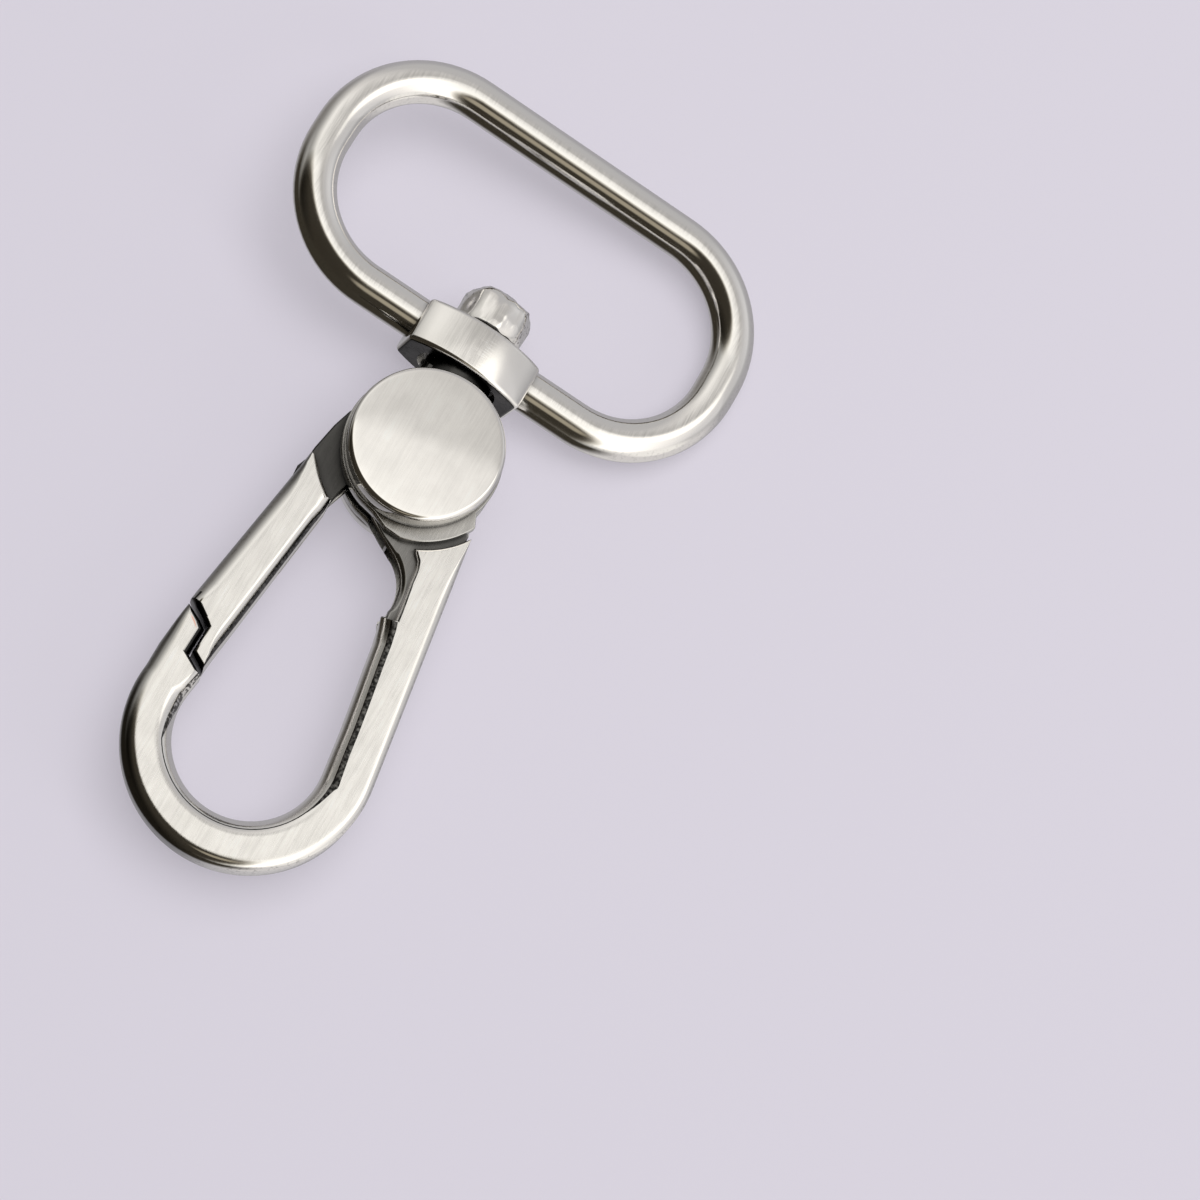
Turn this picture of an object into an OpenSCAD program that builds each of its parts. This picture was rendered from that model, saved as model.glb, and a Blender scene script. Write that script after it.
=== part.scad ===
// Swivel snap hook for 38 mm webbing, lying on its back button.
// Millimetres. The pivot of the gate is at x = 0, y = 0. +Y runs to the webbing loop, +Z is the front.
// z = 0 is the flat face of the back button, on which the hook rests.

/* [Nodes] */

/* [Arms] */
// height of the middle plane of hook and gate above the resting face
mid_z = 5;
arm_thick = 4.6;
edge_out = 0.9;
edge_in = 1.5;

/* [Bow] */
bow_x = -0.32;
bow_y = -30.2;
bow_outer = 11.45;
bow_inner = 6.8;
// lean of the two arms from the long axis, in degrees
lean_right = 6;
lean_right_inner = 10;
lean_left = 6.9;
// the bow and the bend are larger by this much all round, and the straight bars run into them
joint_step = 0.05;
joint_depth = 0.8;

/* [Head] */
head_r = 7.3;
cheek_r = 8.3;
slot_thick = 2;
slot_r = 7.1;
groove_r = 8.95;
groove_depth = 0.8;
pin_bore_d = 3.66;

/* [Swivel] */
swivel_x = -0.7;
post_d = 5.4;
post_seat_d = 6.6;
// the post starts just outside the buttons, on the neck block of the head
neck_width = 9.2;
neck_high = 7.6;
post_low = 7.5;
collar_low = 8.2;
collar_high = 12.7;
collar_width = 11.8;
collar_depth = 8.8;
// radius of the convex front and back, and of the rounding toward the sides
collar_front_r = 9.7;
collar_side_r = 6.3;
collar_edge = 0.5;
collar_bore_d = 5.6;
// countersunk recess round the post in the collar's lower face
recess_d = 8;
recess_bottom_d = 7.2;
recess_depth = 0.75;
peen_d = 6.7;
peen_low = 12.85;
peen_high = 16.2;
// lean of the loop inside its play, and its turn about the post down to the table
loop_lean = 1;
loop_turn = 8;

/* [Webbing loop] */
wire_d = 4;
loop_half_w = 21.25;
loop_low_y = 11;
loop_high_y = 32.2;
loop_corner = 9.9;

/* [Gate] */
gate_arc_r = 9.25;
eye_r = 6.9;
eye_web = 0.8;
eye_bore_d = 3.7;
pocket_r = 2.9;
tongue_thick = 1.7;

/* [Buttons] */
button_d = 14.8;
button_rim = 0.5;
shank_d = 3.6;
shank_end = 1.2;

/* [Spring] */
spring_wire = 0.5;
coil_mean_r = 2.2;
coil_pitch = 0.96 * spring_wire;
leg_d = 0.88 * spring_wire;
leg_gate_z = 0.2;
leg_gate_length = 7.15;
leg_body_length = 14.86;
leg_body_lean = 10.8;

$fn = 40;
half = arm_thick / 2;
slot_half = slot_thick / 2;
tongue_half = tongue_thick / 2;
big = 30;

// Plain helpers

// cross-section of an arm from x = a to x = b, rounded by ra on the a side and rb on the b side,
// and larger by grow all round
module arm_section(a, b, ra, rb, grow = 0) {
    m = (a + b) / 2;
    h = half + grow;
    translate([a + ra, -h]) square([b - a - ra - rb, 2 * h]);
    translate([a - grow, ra - half]) square([m - a + grow, 2 * (half - ra)]);
    translate([m, rb - half]) square([b + grow - m, 2 * (half - rb)]);
    for (s = [-1, 1]) {
        translate([a + ra, s * (half - ra)]) circle(r = ra + grow);
        translate([b - rb, s * (half - rb)]) circle(r = rb + grow);
    }
}

// straight bar with that cross-section, from point p upwards at the given lean
module arm_bar(p, lean, length, a, b, ra, rb) {
    translate([p[0], p[1], mid_z])
        rotate([0, 0, lean])
            rotate([-90, 0, 0])
                linear_extrude(length) arm_section(a, b, ra, rb);
}

// upright slab over a plan outline, between two heights counted from the middle plane
module slab(points, low = -half, high = half) {
    translate([0, 0, mid_z + low])
        linear_extrude(high - low) polygon(points);
}

module disc(r, low = -half, high = half) {
    translate([0, 0, mid_z + low]) cylinder(r = r, h = high - low);
}

// cuts a 45 degree bevel along the plan line p to q on the front and back faces
module bevel_cut(p, q, size) {
    d = q - p;
    for (s = [-1, 1])
        translate([p[0], p[1], mid_z + s * half])
            rotate([0, 0, atan2(d[1], d[0])])
                rotate([45, 0, 0])
                    translate([-0.5, -size * 0.7071, -size * 0.7071])
                        cube([norm(d) + 1, size * 1.4142, size * 1.4142]);
}

function bow_point(r, angle) = [bow_x + r * cos(angle), bow_y + r * sin(angle)];
function on_axis(y, z) = [swivel_x, y, mid_z + z];

// Latch: the Z-shaped meeting of gate and nose, as seen from the front
nose_slope = 36;
nose_corner = [-8.55, -23.6];
latch_low = [-8.6, -26.15];
tip_slope = 31;
nose_gap = 0.32;
side_gap = 0.12;

function nose_y(x) = nose_corner[1] - tan(nose_slope) * (x - nose_corner[0]);
function tip_y(x) = latch_low[1] - tan(tip_slope) * (x - latch_low[0]);

// room for the gate above the slanted ends, which is cut from the hook
nose_zone = [
    [-20, nose_y(-20) - nose_gap], nose_corner - [side_gap, nose_gap],
    latch_low - [side_gap, nose_gap], [0, tip_y(0) - nose_gap], [0, 12], [-20, 12]
];

// Hook body

module bow() {
    translate([bow_x, bow_y, mid_z])
        rotate([0, 0, 180 - lean_left])
            rotate_extrude(angle = 180 + lean_left + lean_right, $fn = 80)
                arm_section(bow_inner, bow_outer, edge_in, edge_out, joint_step);
}

arm_width = bow_outer - bow_inner;
bend_r = 80;
bend_angle = 7;
straight_right = 15.2;
right_dir = [-sin(lean_right), cos(lean_right)];
right_start = bow_point(bow_outer, lean_right);
bend_start = right_start + straight_right * right_dir;
bend_centre = bend_start - bend_r * [cos(lean_right), sin(lean_right)];

module right_arm() {
    arm_bar(right_start - joint_depth * right_dir, lean_right, straight_right + 2 * joint_depth,
        -arm_width, 0, edge_in, edge_out);
    // the arm grows wider towards the head
    arm_bar([6.1, -25], lean_right_inner, 13, 0, 3, edge_in, edge_out);
    translate([bend_centre[0], bend_centre[1], mid_z])
        rotate([0, 0, lean_right])
            rotate_extrude(angle = bend_angle, $fn = 360)
                arm_section(bend_r - arm_width, bend_r, edge_in, edge_out, joint_step);
}

left_dir = [sin(lean_left), cos(lean_left)];
left_start = bow_point(bow_outer, 180 - lean_left) - joint_depth * left_dir;

module nose_arm() {
    difference() {
        difference() {
            arm_bar(left_start, -lean_left, 9, 0, arm_width, edge_out, edge_in);
            slab(nose_zone, -big, big);
        }
        bevel_cut([-12.5, nose_y(-12.5) - nose_gap], nose_corner - [side_gap, nose_gap], 0.4);
        bevel_cut(nose_corner - [side_gap, nose_gap + 0.6], latch_low - [side_gap, nose_gap - 1.2], 0.36);
    }
}

// curved inner shoulder between the head and the right arm
shoulder_c = [0.1, -13.2];
shoulder_r = 4.3;
shoulder_draft = 1.1;
shoulder = [
    [-0.9, -7.55], [2.18, -9.44], [4.6, -13.4], [6.5, -14], [8.3, -12],
    [7.9, -8], [7.2, -4.6], [6.6, -2], [6, 0], [0, 0]
];

module shoulder_web() {
    difference() {
        slab(shoulder);
        translate([shoulder_c[0], shoulder_c[1], 0]) cylinder(r = shoulder_r, h = big);
        for (s = [0, 1])
            translate([shoulder_c[0], shoulder_c[1], mid_z])
                mirror([0, 0, s])
                    translate([0, 0, half - 1.1])
                        cylinder(r1 = shoulder_r, r2 = shoulder_r + shoulder_draft + 0.01, h = 1.11);
        bevel_cut([-1.5, -7.19], [2.18, -9.44], 0.5);
    }
}

module cheeks() {
    disc(head_r);
    intersection() {
        disc(cheek_r);
        slab([[0, 0], [-1.3, -8.6], [9, -10], [9, -4.6]]);
    }
    // neck block under the swivel post
    translate([swivel_x - neck_width / 2, 0, mid_z - half]) cube([neck_width, neck_high, arm_thick]);
}

module groove() {
    for (s = [0, 1])
        translate([0, 0, mid_z])
            mirror([0, 0, s])
                rotate([0, 0, -80])
                    rotate_extrude(angle = 62)
                        translate([cheek_r - 0.1, half - groove_depth]) square([groove_r - cheek_r + 0.1, 2]);
}

module body_slots() {
    // room for the eye of the gate and for its swing
    disc(slot_r, -slot_half, slot_half);
    slab([[-10, 7.5], [-5.3, 8], [0, 0], [1.9, -6.6], [1.1, -9.4], [-4, -12], [-10, -6]], -slot_half, slot_half);
    // slot for the long leg of the spring in the inner wall of the arm
    translate([coil_mean_r, 0, mid_z - slot_half])
        rotate([0, 0, leg_body_lean])
            translate([-2.4, -leg_body_length - 0.54, 0]) cube([3.2, leg_body_length + 0.54, slot_thick]);
}

module swivel_post() {
    translate(on_axis(post_low, 0)) rotate([-90, 0, 0]) cylinder(d = post_d, h = peen_low - post_low + 0.5);
    // shoulder on which the collar turns
    translate(on_axis(post_low, 0)) rotate([-90, 0, 0]) cylinder(d = post_seat_d, h = collar_low - post_low + 0.55);
    // hammered head
    translate(on_axis(peen_low, 0))
        rotate([-90, 0, 0])
            rotate_extrude() {
                r = peen_d / 2;
                h = peen_high - peen_low;
                square([r - 0.8, h]);
                translate([0, 0.25]) square([r, h - 1.05]);
                translate([r - 0.8, h - 0.8]) circle(r = 0.8);
                polygon([[r - 0.8, 0], [r - 0.25, 0], [r, 0.25], [r - 0.8, 0.25]]);
            }
}

module hook_body() {
    color([0.78, 0.76, 0.73]) {
        difference() {
            union() {
                cheeks();
                shoulder_web();
                right_arm();
            }
            body_slots();
            groove();
            translate([0, 0, mid_z - big]) cylinder(d = pin_bore_d, h = 2 * big);
        }
        bow();
        nose_arm();
        swivel_post();
    }
}

// Gate

gate_outer_start = [-11.82, -28];
gate_inner_start = [-7.05, -28];

module gate_arm() {
    difference() {
        union() {
            arm_bar(gate_outer_start, -lean_left, 26.5, 0, 3.2, edge_out, edge_out);
            arm_bar(gate_inner_start, -lean_left, 21, -3.2, 0, edge_out, edge_in);
        }
        translate([0, 0, -1]) cylinder(r = gate_arc_r, h = big, $fn = 96);
        // rounded edge where the face meets the concave end
        for (s = [0, 1])
            translate([0, 0, mid_z])
                mirror([0, 0, s])
                    translate([0, 0, half - 0.4])
                        cylinder(r1 = gate_arc_r, r2 = gate_arc_r + 0.41, h = 0.41, $fn = 96);
        // all below the latch line goes to the hook
        slab([[-20, nose_y(-20)], nose_corner, latch_low, [0, tip_y(0)], [0, -40], [-20, -40]], -big, big);
        bevel_cut([-12.5, nose_y(-12.5)], nose_corner, 0.4);
        bevel_cut(nose_corner - [0, 0.6], latch_low - [0, -0.7], 0.36);
        // slot for the leg of the spring in the inner wall
        translate([-5.9, -15.9, mid_z + leg_gate_z - 0.45])
            rotate([0, 0, -lean_left])
                translate([-0.55, 0, 0]) cube([4, 12, 0.9]);
    }
}

module gate_tongue() {
    difference() {
        union() {
            disc(eye_r, -tongue_half, eye_web - tongue_half);
            // raised side of the eye, which runs into the arm of the gate
            difference() {
                disc(eye_r, -tongue_half, tongue_half);
                slab([[0.6, 9], [-0.6, 3.2], [-2.9, 0.6], [-6.2, -9], [9, -9], [9, 9]], -tongue_half, big);
                disc(pocket_r, -tongue_half, big);
            }
            difference() {
                slab([[-4.2, 5.4], [-6.1, 5], [-8, 2.2], [-8.75, -2], [-9.1, -5], [-8, -9.5], [-5.2, -9.9], [-4.75, -7.4], [-4.1, -5.4], [-4, 0]],
                    -tongue_half, tongue_half);
                disc(pocket_r, -big, big);
                // way of the spring leg
                translate([-2.25, 0, mid_z + leg_gate_z - 0.4])
                    rotate([0, 0, -19])
                        translate([-0.4, -11, 0]) cube([6, 11, 5]);
            }
        }
        translate([0, 0, mid_z - big]) cylinder(d = eye_bore_d, h = 2 * big);
    }
}

module gate() {
    color([0.74, 0.73, 0.71]) {
        gate_arm();
        gate_tongue();
    }
}

// Buttons

module button_head(h) {
    r = button_d / 2;
    rotate_extrude($fn = 128) {
        square([r - button_rim, h]);
        square([r, h - button_rim]);
        translate([r - button_rim, h - button_rim]) circle(r = button_rim);
    }
}

button_h = mid_z - half;

module pivot_button() {
    color([0.84, 0.83, 0.8]) {
        translate([0, 0, mid_z + half]) button_head(button_h);
        translate([0, 0, shank_end]) cylinder(d = shank_d, h = mid_z + half - shank_end + 0.5);
    }
}

module back_button() {
    color([0.84, 0.83, 0.8])
        difference() {
            translate([0, 0, button_h]) mirror([0, 0, 1]) button_head(button_h);
            translate([0, 0, shank_end - 0.1]) cylinder(d = shank_d, h = button_h);
        }
}

// Spring

module rod(p, q, d) {
    v = q - p;
    translate(p)
        rotate([0, acos(v[2] / norm(v)), atan2(v[1], v[0])])
            cylinder(d = d, h = norm(v), $fn = 20);
}

coil_low = mid_z + eye_web - tongue_half + spring_wire / 2 + 0.02;
leg_gate_bend = [-5.0, -8.3, mid_z + leg_gate_z];
leg_gate_tip = leg_gate_bend - leg_gate_length * [sin(lean_left), cos(lean_left), 0];
leg_body_start = [coil_mean_r, 0, coil_low + coil_pitch];
leg_body_tip = leg_body_start + leg_body_length * [sin(leg_body_lean), -cos(leg_body_lean), 0];

module gate_spring() {
    color([0.5, 0.49, 0.47]) {
        translate([0, 0, coil_low])
            rotate_extrude()
                for (k = [0, 1])
                    translate([coil_mean_r, k * coil_pitch]) circle(d = spring_wire, $fn = 16);
        rod([-coil_mean_r, 0, coil_low], leg_gate_bend, leg_d);
        translate(leg_gate_bend - [0, 0, leg_d * 0.62]) cylinder(d = leg_d * 1.24, h = leg_d * 1.24, $fn = 20);
        rod(leg_gate_bend, leg_gate_tip, leg_d);
        rod(leg_body_start, leg_body_tip, leg_d);
    }
}

// Webbing loop with its collar

loop_mid_y = (loop_low_y + loop_high_y) / 2;
loop_half_h = (loop_high_y - loop_low_y) / 2;

module loop_ring() {
    for (sx = [0, 1])
        mirror([sx, 0, 0]) {
            for (sy = [0, 1])
                translate([0, loop_mid_y, 0])
                    mirror([0, sy, 0])
                        translate([loop_half_w - loop_corner, loop_half_h - loop_corner, 0])
                            rotate_extrude(angle = 90, $fn = 96)
                                translate([loop_corner, 0]) circle(d = wire_d, $fn = 48);
            translate([loop_half_w, loop_mid_y - loop_half_h + loop_corner, 0])
                rotate([-90, 0, 0]) cylinder(d = wire_d, h = 2 * (loop_half_h - loop_corner), $fn = 48);
            for (y = [loop_low_y, loop_high_y])
                translate([0, y, 0])
                    rotate([0, 90, 0]) cylinder(d = wire_d, h = loop_half_w - loop_corner, $fn = 48);
        }
}

// barrel about the post, with rounded rims, at height z over the post's axis
module collar_barrel(r, z) {
    h = collar_high - collar_low;
    translate([0, collar_low, z])
        rotate([-90, 0, 0])
            rotate_extrude($fn = 96) {
                square([r - collar_edge, h]);
                translate([0, collar_edge]) square([r, h - 2 * collar_edge]);
                translate([r - collar_edge, collar_edge]) circle(r = collar_edge);
                translate([r - collar_edge, h - collar_edge]) circle(r = collar_edge);
            }
}

module collar() {
    off = collar_front_r - collar_depth / 2;
    intersection() {
        collar_barrel(collar_front_r, -off);
        collar_barrel(collar_front_r, off);
        collar_barrel(collar_side_r, 0);
        translate([-collar_width / 2, collar_low - 1, -collar_depth])
            cube([collar_width, collar_high - collar_low + 2, 2 * collar_depth]);
    }
}

module swivel_loop() {
    color([0.76, 0.75, 0.72])
        translate([swivel_x, 0, mid_z])
            rotate([0, loop_turn, 0])
                translate([0, collar_low, 0])
                    rotate([0, 0, -loop_lean])
                        translate([0, -collar_low, 0])
                            difference() {
                                union() {
                                    difference() {
                                        loop_ring();
                                        // the bar stays below the collar's upper face
                                        translate([0.2 - collar_width / 2, collar_high - 0.1, -half])
                                            cube([collar_width - 0.4, half, arm_thick]);
                                    }
                                    collar();
                                }
                                translate([0, collar_low - 1, 0])
                                    rotate([-90, 0, 0]) cylinder(d = collar_bore_d, h = collar_high - collar_low + 2);
                                translate([0, collar_low - 0.01, 0])
                                    rotate([-90, 0, 0])
                                        cylinder(d1 = recess_d, d2 = recess_bottom_d, h = recess_depth);
                            }
}

hook_body();
gate();
pivot_button();
back_button();
gate_spring();
swivel_loop();
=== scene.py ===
"""Swivel snap hook on a pale floor, seen as in the photo."""
import math

import bmesh
import bpy
import numpy as np
from mathutils import Matrix, Vector, noise


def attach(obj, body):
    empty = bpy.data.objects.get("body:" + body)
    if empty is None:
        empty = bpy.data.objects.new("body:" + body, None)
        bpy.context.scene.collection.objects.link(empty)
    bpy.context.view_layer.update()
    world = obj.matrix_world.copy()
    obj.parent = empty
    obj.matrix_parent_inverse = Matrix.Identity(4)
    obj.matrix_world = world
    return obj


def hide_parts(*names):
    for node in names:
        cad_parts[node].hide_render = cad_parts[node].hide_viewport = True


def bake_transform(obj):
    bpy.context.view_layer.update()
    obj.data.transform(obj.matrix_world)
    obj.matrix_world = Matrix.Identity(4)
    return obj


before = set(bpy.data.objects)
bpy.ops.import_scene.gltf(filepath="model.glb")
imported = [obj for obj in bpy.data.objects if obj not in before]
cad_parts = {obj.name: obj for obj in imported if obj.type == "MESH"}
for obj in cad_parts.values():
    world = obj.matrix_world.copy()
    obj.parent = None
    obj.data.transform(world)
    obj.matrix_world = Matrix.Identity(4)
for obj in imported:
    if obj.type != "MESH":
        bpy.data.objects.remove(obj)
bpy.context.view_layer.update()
scene = bpy.context.scene

# All sizes are in millimetres until add_mesh turns them into metres
MM = 0.001
# middle plane of hook and gate, and half their thickness
MID_Z = 5.0
HALF = 2.3
UP = Vector((0, 0, 1))
# an outline that turns by more than this has a corner there
CORNER_TURN = math.sin(math.radians(25))
# edges between faces that meet at a larger angle than this stay sharp
SHARP_DEG = 32


# Meshes

def smooth(mesh, sharp_deg, flat_axis=None):
    """Smooth shading with sharp edges past an angle, and faces of at most four corners.
    Faces square to flat_axis stay flat, and the rounding beside them runs into them."""
    bm = bmesh.new()
    bm.from_mesh(mesh)
    bmesh.ops.recalc_face_normals(bm, faces=bm.faces)
    many_sided = [f for f in bm.faces if len(f.verts) > 4]
    bmesh.ops.triangulate(bm, faces=many_sided, ngon_method="EAR_CLIP")
    limit = math.radians(sharp_deg)
    for f in bm.faces:
        f.smooth = True
    for e in bm.edges:
        e.smooth = len(e.link_faces) == 2 and e.calc_face_angle() < limit
    bm.to_mesh(mesh)
    bm.free()
    if flat_axis is None:
        return
    level = {}
    for face in mesh.polygons:
        side = face.normal.dot(flat_axis)
        if abs(side) > 0.9999:
            for v in face.vertices:
                level[v] = flat_axis if side > 0 else -flat_axis
    normals = [n.vector.copy() for n in mesh.corner_normals]
    for face in mesh.polygons:
        for v, corner in zip(face.vertices, face.loop_indices):
            if v in level and face.normal.dot(level[v]) > 0.8:
                normals[corner] = level[v]
    mesh.normals_split_custom_set(normals)


def add_mesh(name, verts, faces, material, sharp_deg=SHARP_DEG, flat_axis=None):
    """A smooth-shaded mesh from points in millimetres."""
    name = name.replace(" ", "_")
    mesh = bpy.data.meshes.new(name)
    mesh.from_pydata([tuple(c * MM for c in v) for v in verts], [], faces)
    mesh.update()
    smooth(mesh, sharp_deg, flat_axis)
    obj = bpy.data.objects.new(name, mesh)
    obj.data.materials.append(material)
    scene.collection.objects.link(obj)
    return obj


def arc(cx, cy, r, a0, a1, step=3.0):
    """Points round a centre from one angle to another, about step degrees apart."""
    n = max(2, int(abs(a1 - a0) / step) + 1)
    points = []
    for i in range(n):
        a = math.radians(a0 + (a1 - a0) * i / (n - 1))
        points.append((cx + r * math.cos(a), cy + r * math.sin(a)))
    return points


def line(p, q, step=1.2):
    """Points from p up to, but without, q."""
    n = max(1, int(math.dist(p, q) / step))
    return [(p[0] + (q[0] - p[0]) * i / n, p[1] + (q[1] - p[1]) * i / n) for i in range(n)]


def clean(points, values):
    """Drops points that lie on top of each other, with their values."""
    out_p, out_v = [], []
    for p, v in zip(points, values):
        if not out_p or math.dist(p, out_p[-1]) > 0.02:
            out_p.append(p)
            out_v.append(v)
    if math.dist(out_p[0], out_p[-1]) < 0.02:
        out_p.pop()
        out_v.pop()
    return out_p, out_v


def triangles(points):
    """Splits a closed outline into triangles, as rows of three indices."""
    bm = bmesh.new()
    corners = [bm.verts.new((x, y, 0)) for x, y in points]
    bm.verts.index_update()
    face = bm.faces.new(corners)
    face.normal_update()
    bmesh.ops.triangulate(bm, faces=[face], ngon_method="EAR_CLIP")
    rows = [tuple(v.index for v in f.verts) for f in bm.faces]
    bm.free()
    return rows


def bands(rings, count, closed=False):
    """Faces between each ring of count points and the next one, and from last to first when closed."""
    faces = []
    for k in range(rings if closed else rings - 1):
        here = k * count
        there = (k + 1) % rings * count
        for i in range(count):
            j = (i + 1) % count
            faces.append((here + i, here + j, there + j, there + i))
    return faces


def insets(p, r):
    """How far each point of a counter-clockwise outline moves in.
    At a corner both runs keep their own radius."""
    run = p - np.roll(p, 1, 0)
    before = np.stack([run[:, 1], -run[:, 0]], 1)
    before /= np.linalg.norm(before, axis=1)[:, None]
    after = np.roll(before, -1, 0)
    turn = before[:, 0] * after[:, 1] - before[:, 1] * after[:, 0]
    r_after = np.roll(r, -1)
    middle = before + after
    middle *= ((r + r_after) / np.maximum(np.sum(middle * middle, 1), 1.0))[:, None]
    corner = np.abs(turn) > CORNER_TURN
    t = np.where(corner, turn, 1.0)
    exact = np.stack([(r * after[:, 1] - r_after * before[:, 1]) / t,
                      (r_after * before[:, 0] - r * after[:, 0]) / t], 1)
    return np.where(corner[:, None], exact, middle)


def plate(name, points, radii, low, high, material, rise, steps=7, place=None):
    """Upright plate over a closed outline, between two heights, with rounded edges.
    Each point gives the radius of the run that ends there. rise is the height that the rounding takes,
    one for all or one for each point."""
    if np.isscalar(rise):
        rise = [rise] * len(points)
    points, pairs = clean(points, list(zip(radii, rise)))
    p = np.array(points, float)
    r, tall = np.array(pairs, float).T
    area = 0.5 * np.sum(p[:, 0] * np.roll(p[:, 1], -1) - np.roll(p[:, 0], -1) * p[:, 1])
    if area < 0:
        p = p[::-1]
        tall = tall[::-1]
        r = np.roll(r[::-1], 1)
    inset = insets(p, r)
    rings = []
    for side in (-1, 1):
        face = low if side < 0 else high
        levels = []
        for k in range(steps + 1):
            a = math.pi / 2 * k / steps
            z = face - side * tall * (1 - math.sin(a))
            levels.append(np.column_stack((p - inset * (1 - math.cos(a)), z)))
        rings += levels if side > 0 else levels[::-1]
    verts = [tuple(v) for ring in rings for v in ring]
    faces = bands(len(rings), len(p))
    top = (len(rings) - 1) * len(p)
    for a, b, c in triangles(p - inset):
        faces.append((a, c, b))
        faces.append((top + a, top + b, top + c))
    axis = UP
    if place is not None:
        verts = [tuple(place @ Vector(v)) for v in verts]
        axis = (place.to_3x3() @ UP).normalized()
    return add_mesh(name, verts, faces, material, flat_axis=axis)


def outline(*parts):
    """Joins (points, radius, rise) parts into one outline with a radius and a rise for each point.
    A part's radius may be a list, and its rise is its radius when it isn't given."""
    points, radii, rises = [], [], []
    for p, r, *rise in parts:
        r = r if isinstance(r, list) else [r] * len(p)
        points += p
        radii += r
        rises += rise * len(p) if rise else r
    return points, radii, rises


def taper(points, radii, corner, slope, least):
    """Lets the rounding fade out toward a pointed corner."""
    for i, p in enumerate(points):
        radii[i] = min(radii[i], least + slope * math.dist(p, corner))


def lathe(name, profile, material, place, segments):
    """Solid of revolution about local Z from (radius, height) points that start and end on the axis."""
    verts = []
    inner = profile[1:-1]
    for r, z in inner:
        for i in range(segments):
            a = 2 * math.pi * i / segments
            verts.append((r * math.cos(a), r * math.sin(a), z))
    faces = bands(len(inner), segments)
    start = len(verts)
    verts.append((0, 0, profile[0][1]))
    verts.append((0, 0, profile[-1][1]))
    top = (len(inner) - 1) * segments
    for i in range(segments):
        j = (i + 1) % segments
        faces.append((start, j, i))
        faces.append((start + 1, top + i, top + j))
    verts = [tuple(place @ Vector(v)) for v in verts]
    return add_mesh(name, verts, faces, material, sharp_deg=40)


def ring(name, path, radius, material, place, sides=32):
    """Closed round bar along a flat path."""
    verts = []
    for i, (x, y) in enumerate(path):
        before = path[i - 1]
        after = path[(i + 1) % len(path)]
        tx = after[0] - before[0]
        ty = after[1] - before[1]
        k = math.hypot(tx, ty)
        for s in range(sides):
            a = 2 * math.pi * s / sides
            out = radius * math.cos(a)
            verts.append((x + out * ty / k, y - out * tx / k, radius * math.sin(a)))
    verts = [tuple(place @ Vector(v)) for v in verts]
    return add_mesh(name, verts, bands(len(path), sides, closed=True), material)


def tube(name, path, radius, material, sides=16):
    """Round wire along a path that stays nearly level."""
    verts = []
    for i, middle in enumerate(path):
        ahead = path[min(i + 1, len(path) - 1)] - path[max(i - 1, 0)]
        across = ahead.cross(UP).normalized()
        over = across.cross(ahead).normalized()
        for k in range(sides):
            a = 2 * math.pi * k / sides
            verts.append(tuple(middle + radius * (math.cos(a) * across + math.sin(a) * over)))
    ends = [tuple(range(sides)), tuple(len(verts) - 1 - k for k in range(sides))]
    return add_mesh(name, verts, ends + bands(len(path), sides), material, sharp_deg=60)


def cut(obj, tool, flat_axis=UP):
    """Takes the tool out of obj for good."""
    mod = obj.modifiers.new("cut", "BOOLEAN")
    mod.operation = "DIFFERENCE"
    mod.solver = "MANIFOLD"
    mod.object = tool
    bpy.context.view_layer.update()
    graph = bpy.context.evaluated_depsgraph_get()
    mesh = bpy.data.meshes.new_from_object(obj.evaluated_get(graph))
    obj.modifiers.clear()
    obj.data = mesh
    bpy.data.objects.remove(tool)
    smooth(mesh, SHARP_DEG, flat_axis)


def cut_room(obj, points, low, high, place=None):
    """Takes a room with a flat floor and roof over an outline out of obj."""
    edge = 0.01
    room = plate("room", points, [edge] * len(points), low, high, satin, rise=edge, steps=1, place=place)
    cut(obj, room)


# Materials

class Nodes:
    """Short forms for building a node tree."""

    def __init__(self, tree):
        self.tree = tree
        tree.nodes.clear()

    def add(self, kind, **inputs):
        node = self.tree.nodes.new("ShaderNode" + kind)
        for key, value in inputs.items():
            self.set(node, key.replace("_", " "), value)
        return node

    def set(self, node, key, value):
        socket = node.inputs[key]
        if hasattr(value, "is_output"):
            self.tree.links.new(value, socket)
        else:
            socket.default_value = value

    def noise(self, vector, scale, detail):
        return self.add("TexNoise", Vector=vector, Scale=scale, Detail=detail).outputs["Fac"]

    def ramp(self, value, low, high, to_low=0.0, to_high=1.0):
        node = self.add("MapRange")
        self.set(node, "Value", value)
        for key, number in (("From Min", low), ("From Max", high), ("To Min", to_low), ("To Max", to_high)):
            self.set(node, key, number)
        return node.outputs[0]

    def math(self, operation, a, b=0.0):
        node = self.add("Math")
        node.operation = operation
        self.set(node, 0, a)
        self.set(node, 1, b)
        return node.outputs[0]

    def product(self, first, *others):
        for value in others:
            first = self.math("MULTIPLY", first, value)
        return first

    def dot(self, vector, direction):
        node = self.add("VectorMath")
        node.operation = "DOT_PRODUCT"
        self.set(node, 0, vector)
        self.set(node, 1, direction)
        return node.outputs["Value"]

    def turn(self, kind, source, target, vector):
        node = self.add("VectorTransform", Vector=vector)
        node.vector_type = kind
        node.convert_from = source
        node.convert_to = target
        return node.outputs[0]

    def mix(self, factor, a, b):
        return self.add("Mix", Factor=factor, A=a, B=b).outputs["Result"]

    def mix_color(self, factor, a, b, blend="MIX"):
        node = self.add("Mix")
        node.data_type = "RGBA"
        node.blend_type = blend
        for socket, value in ((0, factor), (6, a), (7, b)):
            self.set(node, socket, value)
        return node.outputs[2]


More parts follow.
